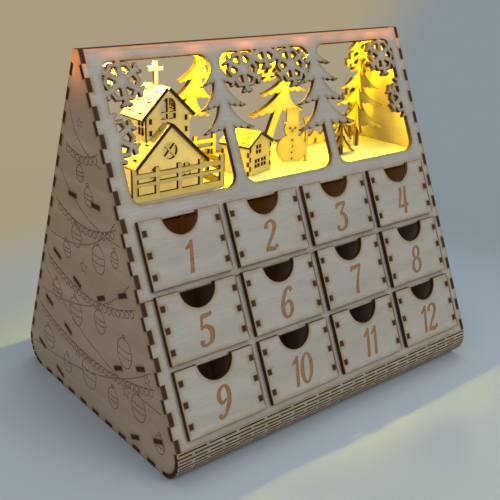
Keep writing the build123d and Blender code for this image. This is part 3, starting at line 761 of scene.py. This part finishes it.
    def net(self) -> Net:
        """Sort and net the whole node."""
        self.read()
        region = self.regions()
        net = Net()
        wraps = self.node == "wrap_panel"
        rolled = self.is_rolled() & wraps
        if wraps:
            used, corners = np.unique(self.triangles[rolled], return_inverse=True)
            points = self.points[used]
            turn = np.arctan2(points[:, 2] - HOUSE.bend_radius, np.abs(points[:, 1]) - HOUSE.bend_y)
            mapped = np.stack([points[:, 0], turn * HOUSE.bend_radius], axis=1)
            gaps = np.full(len(points), self.rolled_gap)
            net.add(points, corners.reshape(-1, 3), Zone.FACE, mapped, gaps)
        order = np.argsort(region, kind="stable")
        order = order[~rolled[order]]
        parts = np.split(order, np.flatnonzero(np.diff(region[order])) + 1)
        for number, part in enumerate(parts):
            normal = (self.normals[part] * self.areas[part, None]).sum(axis=0)
            normal = normal / np.linalg.norm(normal)
            used, corners = np.unique(self.triangles[part], return_inverse=True)
            flat = self.points[used] @ np.stack(self.axes(normal), axis=1)
            width = self.spans(flat, corners.reshape(-1, 3))[1].min()
            end_face = wraps and abs(normal[0]) > LIMITS.along_ridge
            if end_face or width <= HOUSE.ply + LIMITS.narrow_slack:
                self.add_edge(net, self.triangles[part], normal)
            else:
                self.add_face(net, self.triangles[part], normal, self.grain(number))
        return net


# numerals

LEAST_HALF = 0.004  # least half width of a pen stroke
NINE = (
    (500, 840, 60), (400, 955, 45), (240, 860, 50), (100, 520, 62), (130, 180, 60), (280, 35, 35),
    (450, 140, 55), (480, 360, 58), (360, 530, 42), (170, 440, 30),
)
FIGURES = {  # in thousandths of the height: pens as rows of x, y and half width, rings as six sizes
    "0": ((290, 500, 200, 465, 62, 34),),
    "1": (((220, 990, 42), (220, 600, 50), (220, 0, 60)), ((250, 965, 35), (140, 840, 50), (20, 740, 32))),
    "2": (
        ((100, 730, 66), (100, 870, 50), (270, 965, 34), (430, 840, 62), (400, 620, 60), (220, 330, 45),
         (70, 80, 40)),
        ((40, 55, 40), (220, 75, 60), (400, 45, 50), (530, 160, 50)),
    ),
    "3": (
        ((50, 930, 50), (250, 945, 50), (470, 955, 45)), ((60, 970, 35), (60, 880, 45), (40, 800, 40)),
        ((460, 950, 40), (340, 760, 36), (240, 600, 34)),
        ((220, 600, 34), (360, 570, 45), (480, 400, 64), (460, 160, 62), (280, 35, 36), (100, 100, 50),
         (110, 220, 60)),
    ),
    "4": (
        ((400, 1000, 55), (400, 500, 60), (400, 0, 60)), ((140, 980, 60), (160, 720, 50), (60, 330, 38)),
        ((20, 300, 40), (280, 290, 45), (560, 320, 45)),
    ),
    "5": (
        ((100, 925, 55), (280, 920, 55), (480, 960, 45)), ((100, 960, 35), (100, 750, 38), (90, 540, 36)),
        ((80, 550, 34), (250, 600, 45), (460, 440, 66), (450, 160, 66), (260, 35, 36), (90, 100, 50),
         (100, 220, 60)),
    ),
    "6": (NINE,),
    "7": (
        ((60, 990, 30), (60, 900, 45), (40, 800, 36)), ((50, 925, 50), (260, 920, 58), (500, 965, 40)),
        ((490, 970, 35), (370, 600, 45), (310, 280, 58), (310, 0, 66)),
    ),
    "8": ((290, 755, 150, 205, 50, 36), (290, 285, 195, 250, 60, 36)),
    "9": (tuple((580 - x, 1000 - y, half) for x, y, half in NINE),),
}


def stroke(points: list[tuple], closed: bool = False, steps: int = 9) -> list[Array]:
    """Outline of a pen stroke: a smooth line through points, as wide at each as its half width says.

    The line and its half width are Catmull-Rom curves through the given rows, and each side of the
    outline is the line moved square to itself by the half width.

    Args:
        points: Rows of x, y and half width.
        closed: Whether the line comes back to its start.
        steps: Samples between two rows.

    Returns:
        One closed loop for an open line, or an outer and an inner loop for a closed one.
    """
    rows = np.array(points, float)
    if closed:
        rows = np.concatenate([rows[-1:], rows, rows[:2]])
    else:
        rows = np.concatenate([2 * rows[:1] - rows[1:2], rows, 2 * rows[-1:] - rows[-2:-1]])
    t = (np.arange(steps) / steps)[None, :, None]
    a, b, c, d = (rows[i : len(rows) - 3 + i, None, :] for i in range(4))
    line = 2 * b + (c - a) * t + (2 * a - 5 * b + 4 * c - d) * t**2 + (3 * b - a - 3 * c + d) * t**3
    line = 0.5 * line.reshape(-1, 3)
    if not closed:
        line = np.concatenate([line, rows[-2:-1]])
    slope = np.gradient(line[:, :2], axis=0)
    if closed:
        slope = (np.roll(line, -1, axis=0) - np.roll(line, 1, axis=0))[:, :2]
    slope = slope / np.linalg.norm(slope, axis=1)[:, None]
    side = np.stack([-slope[:, 1], slope[:, 0]], axis=1) * np.maximum(line[:, 2:], LEAST_HALF)
    left, right = line[:, :2] + side, line[:, :2] - side
    return [left, right] if closed else [np.concatenate([left, right[::-1]])]


@dataclass(frozen=True)
class Numerals:
    """Tall narrow figures with thick stems and thin joins, in shares of their height."""

    height: float = 18.8 * MM
    space: float = 0.06
    lean: float = 0.2
    weight: float = 1.3

    def ring(self, *sizes: int) -> list[Array]:
        """Oval ring, thick at its sides and thin at its head and foot.

        Args:
            sizes: Place of its middle, half its width and height, and half its line at thickest and thinnest.

        Returns:
            Its outer and inner loop, in shares of the height.
        """
        x, y, wide, tall, thick, thin = (size / 1000 for size in sizes)
        turn = np.linspace(0, 2 * math.pi, 17)[:-1]
        half = self.weight * (thin + (thick - thin) * np.cos(turn) ** 2)
        rows = [*zip(x + wide * np.cos(turn), y + tall * np.sin(turn), half)]
        return stroke(rows, closed=True, steps=5)

    def pen(self, *rows: tuple[int, int, int]) -> list[Array]:
        """Open stroke at the figures' own weight."""
        return stroke([(x / 1000, y / 1000, self.weight * half / 1000) for x, y, half in rows])

    def strokes(self, figure: str) -> list[list[Array]]:
        """Loops of each stroke of one figure, in shares of its height."""
        return [(self.ring if isinstance(one[0], int) else self.pen)(*one) for one in FIGURES[figure]]

    def mark(self, number: int, centre: Array) -> list[list[Array]]:
        """Strokes of a whole number about a centre on a face's flat map.

        Args:
            number: What is engraved.
            centre: Middle of the number.

        Returns:
            Loops of each stroke.
        """
        figures = [self.strokes(figure) for figure in str(number)]
        spans = [np.concatenate([loop for one in figure for loop in one])[:, 0] for figure in figures]
        widths = [span.max() - span.min() for span in spans]
        left = -(sum(widths) + self.space * (len(figures) - 1)) / 2
        placed = []
        for figure, span, width in zip(figures, spans, widths):
            move = np.array([left - span.min(), -0.5])
            slant = self.height * np.array([[1.0, 0.0], [self.lean, 1.0]])
            placed += [[(loop + move) @ slant + centre for loop in one] for one in figure]
            left += width + self.space
        return placed


@dataclass(frozen=True)
class SidePattern:
    """Fine scored drawing on a side panel: hung bead strings, baubles and stars, all in millimetres."""

    line: float = 0.5
    margin: float = 7.0
    strings: tuple = ((176, 5), (137, 9), (95, 12), (53, 13))
    baubles: tuple = (
        (-3, 160, 4.2), (6, 148, 5), (-12, 119, 6), (14, 112, 7.5), (-26, 106, 4.6), (33, 118, 4),
        (-44, 72, 6), (-19, 66, 8), (12, 71, 6.5), (40, 62, 8), (-62, 30, 7), (-36, 21, 5.5), (-6, 27, 9),
        (24, 24, 6), (54, 32, 7.5), (76, 19, 5),
    )
    stars: tuple = (
        (0, 190, 3.6), (-5, 101, 5), (26, 86, 4), (-60, 60, 4.5), (64, 55, 4), (-20, 36, 4), (40, 36, 4.5),
    )
    ribbons: tuple = (
        (196, 168, 4), (158, 128, 7), (112, 140, 9), (66, 108, 10), (84, 40, 12), (18, 62, 10),
    )
    bead: float = 2.1
    bead_pitch: float = 5.25
    tall: float = 1.2  # height of a bauble over its width
    cap: tuple = (1.3, 1.0)
    bands: tuple = (-0.2, 0.25)  # in shares of a bauble's half height
    band_sag: float = 0.12
    star_hollow: float = 0.42
    star_line: float = 1.6  # width of a star's line, in other lines

    def ring(self, x: float, y: float, wide: float, tall: float, rows: int = 12) -> list[Array]:
        """Thin oval ring."""
        turn = np.linspace(0, 2 * math.pi, rows + 1)[:-1]
        half = np.full(rows, self.line / 2)
        ends = [*zip(x + wide * np.cos(turn), y + tall * np.sin(turn), half)]
        return stroke(ends, closed=True, steps=2)

    def swag(self, across: Array, level: Array, sag: Array) -> list[Array]:
        """Thin line that hangs by so much below a level at each place across the panel."""
        return stroke([*zip(across, level - sag, np.full(len(across), self.line / 2))], steps=3)

    def string(self, level: float, sag: float) -> list[Array]:
        """Sagging line from edge to edge with a row of round beads below it.

        Args:
            level: Height of its ends.
            sag: How far its middle hangs below them.

        Returns:
            Loops of the line and of the beads.
        """
        reach = HOUSE.half_width(level * MM) / MM - self.margin
        across = np.linspace(-reach, reach, 11)
        loops = self.swag(across, level, sag * (1 - (across / reach) ** 2))
        count = int(2 * reach / self.bead_pitch)
        for x in (np.arange(count) - (count - 1) / 2) * self.bead_pitch:
            drop = level - sag * (1 - (x / reach) ** 2) - self.bead - self.line
            loops += self.ring(x, drop, self.bead, self.bead, 8)
        return loops

    def ribbon(self, left: float, right: float, sag: float) -> list[Array]:
        """Plain sagging line between two heights on the panel's edges."""
        level = np.linspace(left, right, 13)
        side = np.linspace(-1, 1, 13)
        reach = HOUSE.half_width(level * MM) / MM - self.margin
        return self.swag(side * reach, level, sag * (1 - side**2))

    def bauble(self, x: float, y: float, size: float) -> list[Array]:
        """Tall round bauble with a cap and two bands.

        Args:
            x: Place of its middle across the panel.
            y: Height of its middle.
            size: Half its width.

        Returns:
            Loops of its lines.
        """
        half = self.tall * size
        loops = self.ring(x, y, size, half)
        loops += self.ring(x, y + half + self.cap[0], *self.cap, 8)
        side = np.linspace(-1, 1, 5)
        for share in self.bands:
            reach = size * math.sqrt(1 - share**2) - self.line
            loops += self.swag(x + reach * side, y + half * share, self.band_sag * size * (1 - side**2))
        return loops

    def star(self, x: float, y: float, size: float) -> list[Array]:
        """Outline of a five-pointed star."""
        turn = np.pi / 2 + np.arange(10) * np.pi / 5
        reach = np.where(np.arange(10) % 2, self.star_hollow * size, size)
        tips = np.stack([np.cos(turn), np.sin(turn)], axis=1) * reach[:, None]
        return [tips + (x, y), tips * (1 - self.star_line * self.line / size) + (x, y)]

    def mark(self) -> list[list[Array]]:
        """The whole drawing as the loops of one stroke, in metres."""
        drawn = (
            (self.string, self.strings), (self.ribbon, self.ribbons), (self.bauble, self.baubles),
            (self.star, self.stars),
        )
        loops = [loop for draw, rows in drawn for row in rows for loop in draw(*row)]
        return [[loop * MM for loop in loops]]


# sub-assemblies


@dataclass
class Workshop:
    """Materials shared by all sheets, and the last step of every redrawn sheet."""

    face: Material
    side_face: Material
    scene_face: Material
    edge: Material
    thin_edge: Material
    mark: Material
    score: Material

    def dress(self, sheet: Sheet, body: str, slot: str, glow: Callable | None = None) -> None:
        """Net a sheet, give it its finishes and let it stand for its node.

        Args:
            sheet: The sheet to draw.
            body: Body that it moves with.
            slot: Slot of the record that names its finish; not used.
            glow: Painted light on and through it at points, or none.
        """
        net = sheet.net()
        thin = sheet.thick < HOUSE.ply
        side = sheet.node.endswith("side_panel")
        face = self.scene_face if thin else self.side_face if side else self.face
        finishes = [face, self.thin_edge if thin else self.edge, self.score if side else self.mark]
        # painted light for each corner of the sheet
        light = None if glow is None else glow(np.concatenate(net.points))
        piece = net.make(f"{sheet.node}_wood", finishes, light)
        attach(piece, body)
        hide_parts(sheet.node)
        LOG.info("%s: %d triangles", piece.name, len(piece.data.polygons))


def bell(away: Array, width: float) -> Array:
    """Soft spot: 1 at its middle, falling off smoothly over a width."""
    return np.exp(-0.5 * (away / width) ** 2)


@dataclass
class Lamps:
    """The strip of lamp beads under the ridge, its lamps, and the light for them painted on the sheets."""

    bead_shares: tuple = (-0.878, -0.667, -0.431, -0.26, -0.114, 0.049, 0.268, 0.472, 0.642, 0.805, 0.943)
    shine: tuple = (0.42, 0.12, 0.85, 0.2, 1.0, 0.42, 0.85, 0.4, 0.62, 1.0, 0.7)  # strength of each bead's painted glow seen through the wood
    shares: tuple = (1.1, 1.2, 1.0, 1.0, 1.0, 1.0, 0.9, 0.7, 0.5, 0.4, 0.35)  # of the power
    half_strip: float = 123 * MM
    level: float = 221.6 * MM
    lens: float = 3 * MM
    power: float = 0.16
    tint: tuple = (1.0, 0.78, 0.008)
    near_tint: tuple = (1.0, 0.82, 0.22)
    near: int = 2  # beads from the left that have the near tint
    bounce: tuple = (0.6, 160 * MM)  # painted light thrown about inside at the ridge, and how far down it reaches
    leaks: tuple = (0.026, 0.005, 0.005)  # painted light behind the plates of each row
    bead_spot: float = 6 * MM
    haze: tuple = (3.2 * MM, 3.4 * MM)  # middle and width of the painted lit band below the ridge
    haze_shares: tuple = (0.06, 0.55)  # all along the ridge, and below the beads
    side: tuple = (0.25, 13 * MM)  # painted light at the top of a side panel, and how far down it reaches
    spots: tuple = (  # strength, width, place out and up, and squeeze of the painted light spots there
        (0.3, 7 * MM, 1.5 * MM, 220.5 * MM, 1.0), (0.7, 2.6 * MM, 5.2 * MM, 220 * MM, 0.6),
    )
    side_sheet: float = 3.1 * MM
    skin: float = 0.1 * MM

    def places(self) -> Array:
        """Place of each bead along the ridge."""
        return np.array(self.bead_shares) * self.half_strip

    def through(self, points: Array) -> Array:
        """Painted light on the panels: soft spots below the beads, a glow at the ridge's ends, and light
        within.

        Args:
            points: Corners of a side or upper panel.

        Returns:
            Painted light through the sheet and painted light thrown about inside, for each corner.
        """
        x, y, z = points.T
        down = HOUSE.down(points)
        below = np.maximum(0.0, down)
        # painted glow: soft spots below the beads, a lit band below the ridge and spots at the top of each
        # side panel
        beads = (bell(x[:, None] - self.places(), self.bead_spot) * self.shine).sum(axis=1)
        ridge, bead = self.haze_shares
        band = (ridge + bead * beads) * bell(down - self.haze[0], self.haze[1])
        top = self.side[0] * np.exp(-below / self.side[1])
        for share, width, out, up, squeeze in self.spots:
            top += share * bell(np.hypot((y - out) / squeeze, z - up), width)
        # painted light thrown about inside, on the inner faces of the upper panels
        on_side = np.abs(x) > HOUSE.width / 2 - self.side_sheet
        within = (HOUSE.deep(points) > HOUSE.ply - self.skin) & ~on_side
        inner = within * self.bounce[0] * np.exp(-below / self.bounce[1])
        return np.stack([np.clip(band + top * on_side, 0, 1), inner], axis=1)

    def leak(self, points: Array, share: float) -> Array:
        """Faint painted light for light that finds its way down behind a row of plates."""
        inner = np.where(HOUSE.deep(points) > 2 * self.skin, share, 0.0)
        return np.stack([inner, np.zeros(len(points))], axis=1)

    def build(self) -> None:
        """Put a small warm lamp under each bead."""
        for number, (along, share) in enumerate(zip(self.places(), self.shares), 1):
            place = (float(along), 0.0, self.level)
            tint = self.near_tint if number <= self.near else self.tint
            disc_lamp(f"bead_light_{number:02d}", place, self.lens, self.power * share, tint)

    def dress(self) -> None:
        """Finish the strip, its beads and the pack that feeds them."""
        finishes = {
            "led_strip": Moulded("printed_tape", colour(196, 186, 160), colour(176, 140, 84), (300, 40, 40)),
            "led_beads": Moulded(
                "lamp_lens", colour(255, 232, 150), colour(255, 214, 110), glow=9.0, roughness=(0.1, 0.2)
            ),
            "battery_case": Moulded("black_plastic", colour(40, 40, 42), colour(52, 52, 54)),
            "battery_cover": Moulded("black_cover", colour(38, 38, 40), colour(50, 50, 52)),
            "coin_cells": Moulded(
                "cell_steel", colour(176, 176, 172), colour(140, 140, 138), (60, 4000, 60), metallic=1.0
            ),
            "switch_slider": Moulded(
                "ribbed_switch", colour(24, 24, 26), colour(46, 46, 48), (2400, 40, 40), depth=0.1 * MM
            ),
        }
        for node, finish in finishes.items():
            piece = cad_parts[node]
            piece.data.materials.clear()
            piece.data.materials.append(finish.make())
            LOG.info("%s: %s", node, finish.name)


@dataclass
class Case:
    """Side panels, upper panels, the wrapped sheet and what is inside."""

    shop: Workshop
    lamps: Lamps
    pattern: SidePattern
    panels: tuple = (
        "left_side_panel", "right_side_panel", "front_upper_panel", "rear_upper_panel", "wrap_panel",
        "scene_floor",
    )
    inside: tuple = ("shelf_1", "shelf_2", "shelf_3", "dividers")

    def build(self) -> None:
        """Draw every sheet of the case."""
        for node in self.panels:
            # painted light through the side and upper panels
            lit = self.lamps.through if node.endswith(("side_panel", "upper_panel")) else None
            marks = []
            if node.endswith("side_panel"):
                out = np.array([-1.0 if node.startswith("left") else 1.0, 0.0, 0.0])
                marks.append((Outside(out, HOUSE.width / 2), self.pattern.mark()))
            self.shop.dress(Sheet(node, marks=marks), "case", "birch_ply", lit)
        for place in ("front", "rear"):
            for name in self.inside:
                sheet = Sheet(f"{place}_{name}", fine=3.5 * MM, coarse=20 * MM)
                self.shop.dress(sheet, "case", "birch_ply")


@dataclass
class Drawers:
    """Twenty-four numbered drawers, twelve on each sloping face."""

    shop: Workshop
    numerals: Numerals
    lamps: Lamps
    columns: int = 4
    rows: int = 3
    column_pitch: float = 61 * MM
    row_pitch: float = 42.7003 * MM
    first_row: float = 97.3 * MM
    middle_drop: float = 25.6 * MM

    def build(self) -> None:
        """Draw each drawer with its number sunk into the plate."""
        on_face = self.columns * self.rows
        for number in range(1, 2 * on_face + 1):
            face, place = divmod(number - 1, on_face)
            row, column = divmod(place, self.columns)
            across = (column - (self.columns - 1) / 2) * self.column_pitch
            drop = self.first_row + row * self.row_pitch + self.middle_drop
            hand = 2.0 * face - 1.0
            out = np.array([0.0, hand * HOUSE.run, HOUSE.rise])
            level, upright = Sheet.axes(out)
            head = np.array([0.0, hand * HOUSE.ridge_half, HOUSE.height])
            centre = np.array([head @ level + across, head @ upright - drop])
            plate = Outside(out, float(head @ out) + HOUSE.ply)
            sheet = Sheet(f"drawer_{number:02d}", marks=[(plate, self.numerals.mark(number, centre))])
            # painted light on the inside of the drawer, behind its plate
            light = partial(self.lamps.leak, share=self.lamps.leaks[row])
            self.shop.dress(sheet, sheet.node, "birch_ply", light)


@dataclass
class Scenery:
    """Church, cottage, snowman, fences, firs and village row on the scene's floor."""

    shop: Workshop
    pieces: tuple = (  # painted glow through each piece and painted light thrown on it
        ("church_nave_walls", 0.26, 0.2), ("church_nave_roof", 0, 0), ("church_tower_walls", 0.2, 0.16),
        ("church_tower_roof", 0, 0), ("church_cross", 1.0, 0.2), ("front_fence", 0.13, 0.12),
        ("side_fence", 0, 0), ("rear_fence", 0, 0), ("cottage_walls", 0.1, 0.22), ("cottage_roof", 0, 0),
        ("snowman", 0.05, 0.16), ("village_row", 0, 0), ("large_fir", 0, 0.1), ("front_fir", 0, 0),
        ("rear_fir", 0, 0),
    )

    @staticmethod
    def light(points: Array, shares: list[float]) -> Array:
        """The same painted glow through a piece and painted light thrown on it at every corner."""
        return np.tile(shares, (len(points), 1))

    def build(self) -> None:
        """Draw every piece; a thin sheet in front of the lamps gets a painted glow for some of their light
        coming through.
        """
        for node, *shares in self.pieces:
            light = partial(self.light, shares=shares)
            sheet = Sheet(node, thick=2 * MM, fine=1.4 * MM, coarse=5 * MM)
            self.shop.dress(sheet, "case", "scene_ply", light)


@dataclass
class Studio:
    """Floor, soft lights and the camera at the photograph's angle."""

    spot: tuple = (-332.43 * MM, -399.914 * MM, 288.202 * MM)
    tilt: tuple = (68.5853, -1.3004, -39.0193)  # degrees
    lens: float = 57.33
    sensor: float = 36.0
    nearest: float = 0.01
    floor: tuple = colour(152, 162, 169)
    wall: tuple = colour(135, 146, 151)
    warm_wall: tuple = colour(170, 157, 130)
    # painted warm light: the lamps' warm light on the backdrop to the left, painted into the far floor
    half_floor: float = 8.0
    right: tuple = (0.777, -0.629, 0.0)  # from the floor's side with painted warm lamp light to its cool one
    turn: tuple = (0.13, 0.27)  # where the painted warm light goes over to cool, in shares of the distance
    near: tuple = (0.2, 0.4)  # distances over which the floor takes its far tone
    even: tuple = (0.25, 0.7)  # distances over which it loses its shading
    aim: tuple = (0, 0, 0.1)
    lamps: tuple = (  # name, place, width, power and tint
        ("soft_key", (0.5, -1.5, 1.4), 1.3, 22.0, (1.0, 0.985, 0.96)),
        ("soft_fill", (-1.6, -0.6, 0.9), 1.4, 11.0, (1.0, 0.96, 0.9)),
        ("soft_top", (0.2, 0.3, 1.9), 1.5, 13.0, (0.97, 0.98, 1.0)),
    )
    room: tuple = (0.82, 0.87, 0.95, 1.0)
    room_light: float = 0.38

    def paper(self) -> Material:
        """Floor paper: cool and pale round the house, and an even tone far off, with painted warm lamp light
        to the left.
        """
        g = Graph("stage_paper")
        place = g.add("TexCoord").outputs["Object"]
        across = g.add("VectorMath", {0: place, 1: self.right}, operation="DOT_PRODUCT").outputs["Value"]
        far = g.add("VectorMath", {0: place}, operation="LENGTH").outputs["Value"]
        shade = g.mix(g.span(g.math("DIVIDE", across, far), *self.turn), self.warm_wall, self.wall)
        tone = g.mix(g.span(far, *self.near), self.floor, shade)
        rays = g.add("LightPath").outputs
        mirrored = g.math("MAXIMUM", rays["Is Glossy Ray"], rays["Is Transmission Ray"])
        seen = g.math("MAXIMUM", rays["Is Camera Ray"], mirrored)
        even = g.math("MULTIPLY", seen, g.span(far, *self.even))
        g.surface(g.mix(even, tone, BLACK), 0.9, 0.0)
        g.glow(shade, even)
        return g.material

    def ground(self) -> None:
        """Lay the floor."""
        reach = self.half_floor
        mesh = bpy.data.meshes.new("stage_floor")
        corners = [(-reach, -reach, 0), (reach, -reach, 0), (reach, reach, 0), (-reach, reach, 0)]
        mesh.from_pydata(corners, [], [(0, 1, 2, 3)])
        mesh.materials.append(self.paper())
        stand("stage_floor", mesh)

    def build(self) -> None:
        """Make the stage, lights, world and camera."""
        self.ground()
        for row in self.lamps:
            lamp = disc_lamp(*row)
            lamp.rotation_euler = (lamp.location - Vector(self.aim)).to_track_quat("Z", "Y").to_euler()
        world = bpy.data.worlds.new("soft_room")
        world.use_nodes = True
        sky = world.node_tree.nodes["Background"].inputs
        sky["Color"].default_value = self.room
        sky["Strength"].default_value = self.room_light
        camera = bpy.data.cameras.new("camera")
        camera.lens, camera.sensor_width, camera.clip_start = self.lens, self.sensor, self.nearest
        eye = stand("camera", camera)
        eye.location = self.spot
        eye.rotation_euler = tuple(math.radians(turn) for turn in self.tilt)
        scene = bpy.context.scene
        scene.world, scene.camera = world, eye
        scene.view_settings.view_transform = "Standard"


def main() -> None:
    """Build the calendar's looks and its studio."""
    logging.basicConfig(level=logging.INFO, format="%(message)s")
    shop = Workshop(
        face=BirchFace("birch_face").make(),
        side_face=BirchFace("side_face", pale=colour(158, 140, 122), warm=colour(147, 127, 106)).make(),
        # the scenery's yellow tone is painted warm lamp light, which tints even its unlit sides; lit is the
        # colour of its painted glow
        scene_face=BirchFace(
            "scene_face", pale=colour(166, 151, 84), warm=colour(156, 136, 68), lit=colour(255, 222, 165)
        ).make(),
        edge=BurntEdge("burnt_edge").make(),
        thin_edge=BurntEdge("thin_burnt_edge", sheet=2 * MM).make(),
        mark=Engraving("engraved_mark").make(),
        score=Engraving("scored_line", tan=colour(102, 83, 68), dark=colour(87, 69, 53)).make(),
    )
    lamps = Lamps()
    Case(shop, lamps, SidePattern()).build()
    Drawers(shop, Numerals(), lamps).build()
    Scenery(shop).build()
    lamps.build()
    lamps.dress()
    Studio().build()


if __name__ == "__main__":
    main()
